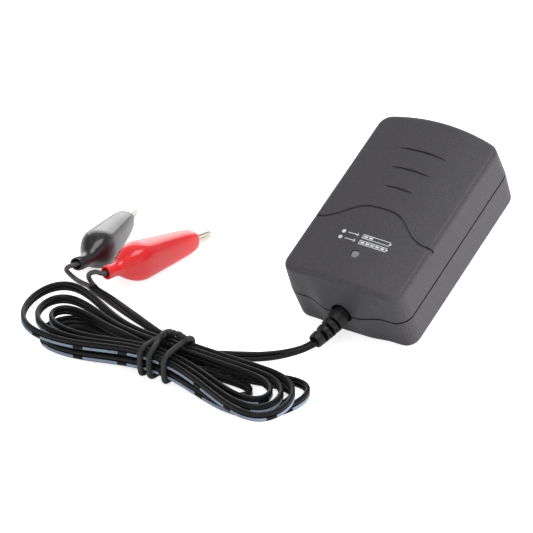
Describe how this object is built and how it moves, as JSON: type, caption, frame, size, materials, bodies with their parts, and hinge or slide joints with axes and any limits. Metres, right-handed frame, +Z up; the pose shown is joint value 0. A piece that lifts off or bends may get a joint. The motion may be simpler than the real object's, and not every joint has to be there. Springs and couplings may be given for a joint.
{
  "type": "car battery charger",
  "caption": "Small plug-in battery charger with fixed mains blades, a tied hank of twin lead and two booted alligator clips with sprung jaws.",
  "frame": {"origin": "on the surface the charger stands on, under the middle of the housing's box; the housing lies propped on its mains blades", "axes": "+X across the housing, +Y from the cord outlet towards the arched end, +Z up"},
  "size_m": [0.1316, 0.1369, 0.0537],
  "materials": {
    "front_shell": "fine moulded texture, dark charcoal",
    "rear_shell": "fine moulded texture, dark charcoal",
    "blade_left": "nickel plated",
    "blade_right": "nickel plated",
    "blade_clamp": "moulded",
    "circuit_board": "solder mask",
    "fuse": "moulded",
    "choke_core": "sintered ferrite",
    "choke_winding": "enamelled copper wire",
    "line_capacitor": "moulded box",
    "bridge_rectifier": "moulded",
    "mains_capacitor": "printed sleeve",
    "transformer_core": "sintered ferrite",
    "transformer_bobbin": "moulded",
    "transformer_winding": "wire under yellow tape",
    "switching_chip": "moulded",
    "heat_sink": "sheared plate",
    "output_diode": "moulded, tinned tab",
    "optocoupler": "moulded",
    "safety_capacitor": "dipped disc",
    "output_capacitors": "printed sleeves",
    "output_inductor": "ferrite drum",
    "charge_chip": "moulded",
    "resistors": "lacquered",
    "led": "water clear, unlit",
    "led_spacer": "moulded",
    "inner_wires": "soft insulation",
    "strain_relief": "soft matt moulding",
    "output_cord": "satin jacket",
    "cord_hank": "satin jacket",
    "cord_tail": "satin jacket",
    "wire_tie": "ribbed plastic over wire",
    "red_lead": "satin jacket",
    "red_clip_fixed_jaw": "nickel plated sheet",
    "red_clip_moving_jaw": "nickel plated sheet",
    "red_clip_rivet": "nickel plated",
    "red_clip_spring": "spring wire",
    "red_clip_boot": "glossy soft vinyl",
    "black_lead": "satin jacket",
    "black_clip_fixed_jaw": "nickel plated sheet",
    "black_clip_moving_jaw": "nickel plated sheet",
    "black_clip_rivet": "nickel plated",
    "black_clip_spring": "spring wire",
    "black_clip_boot": "glossy soft vinyl"
  },
  "bodies": {
    "charger": {"front_shell": "front_shell", "rear_shell": "rear_shell", "blade_left": "blade_left", "blade_right": "blade_right", "blade_clamp": "blade_clamp", "circuit_board": "circuit_board", "fuse": "fuse", "choke_core": "choke_core", "choke_winding": "choke_winding", "line_capacitor": "line_capacitor", "bridge_rectifier": "bridge_rectifier", "mains_capacitor": "mains_capacitor", "transformer_core": "transformer_core", "transformer_bobbin": "transformer_bobbin", "transformer_winding": "transformer_winding", "switching_chip": "switching_chip", "heat_sink": "heat_sink", "output_diode": "output_diode", "optocoupler": "optocoupler", "safety_capacitor": "safety_capacitor", "output_capacitors": "output_capacitors", "output_inductor": "output_inductor", "charge_chip": "charge_chip", "resistors": "resistors", "led": "led", "led_spacer": "led_spacer", "inner_wires": "inner_wires", "strain_relief": "strain_relief", "output_cord": "output_cord", "cord_hank": "cord_hank", "cord_tail": "cord_tail", "wire_tie": "wire_tie", "red_lead": "red_lead", "red_clip_fixed_jaw": "red_clip_fixed_jaw", "red_clip_rivet": "red_clip_rivet", "red_clip_spring": "red_clip_spring", "red_clip_boot": "red_clip_boot", "black_lead": "black_lead", "black_clip_fixed_jaw": "black_clip_fixed_jaw", "black_clip_rivet": "black_clip_rivet", "black_clip_spring": "black_clip_spring", "black_clip_boot": "black_clip_boot"},
    "red_jaw": {"red_clip_moving_jaw": "red_clip_moving_jaw"},
    "black_jaw": {"black_clip_moving_jaw": "black_clip_moving_jaw"}
  },
  "joints": [
    {"name": "red_jaw_pivot", "type": "hinge", "parent": "charger", "child": "red_jaw", "pos_m": [-0.08066, -0.02915, 0.00641], "axis": [0.9848, -0.1736, 0], "range_deg": [0, 20], "stiffness_Nm_per_rad": 0.08, "deforming": ["red_clip_boot", "red_clip_spring"]},
    {"name": "black_jaw_pivot", "type": "hinge", "parent": "charger", "child": "black_jaw", "pos_m": [-0.09953, -0.02928, 0.00641], "axis": [0.9646, 0.2639, 0], "range_deg": [0, 20], "stiffness_Nm_per_rad": 0.08, "deforming": ["black_clip_boot", "black_clip_spring"]}
  ]
}
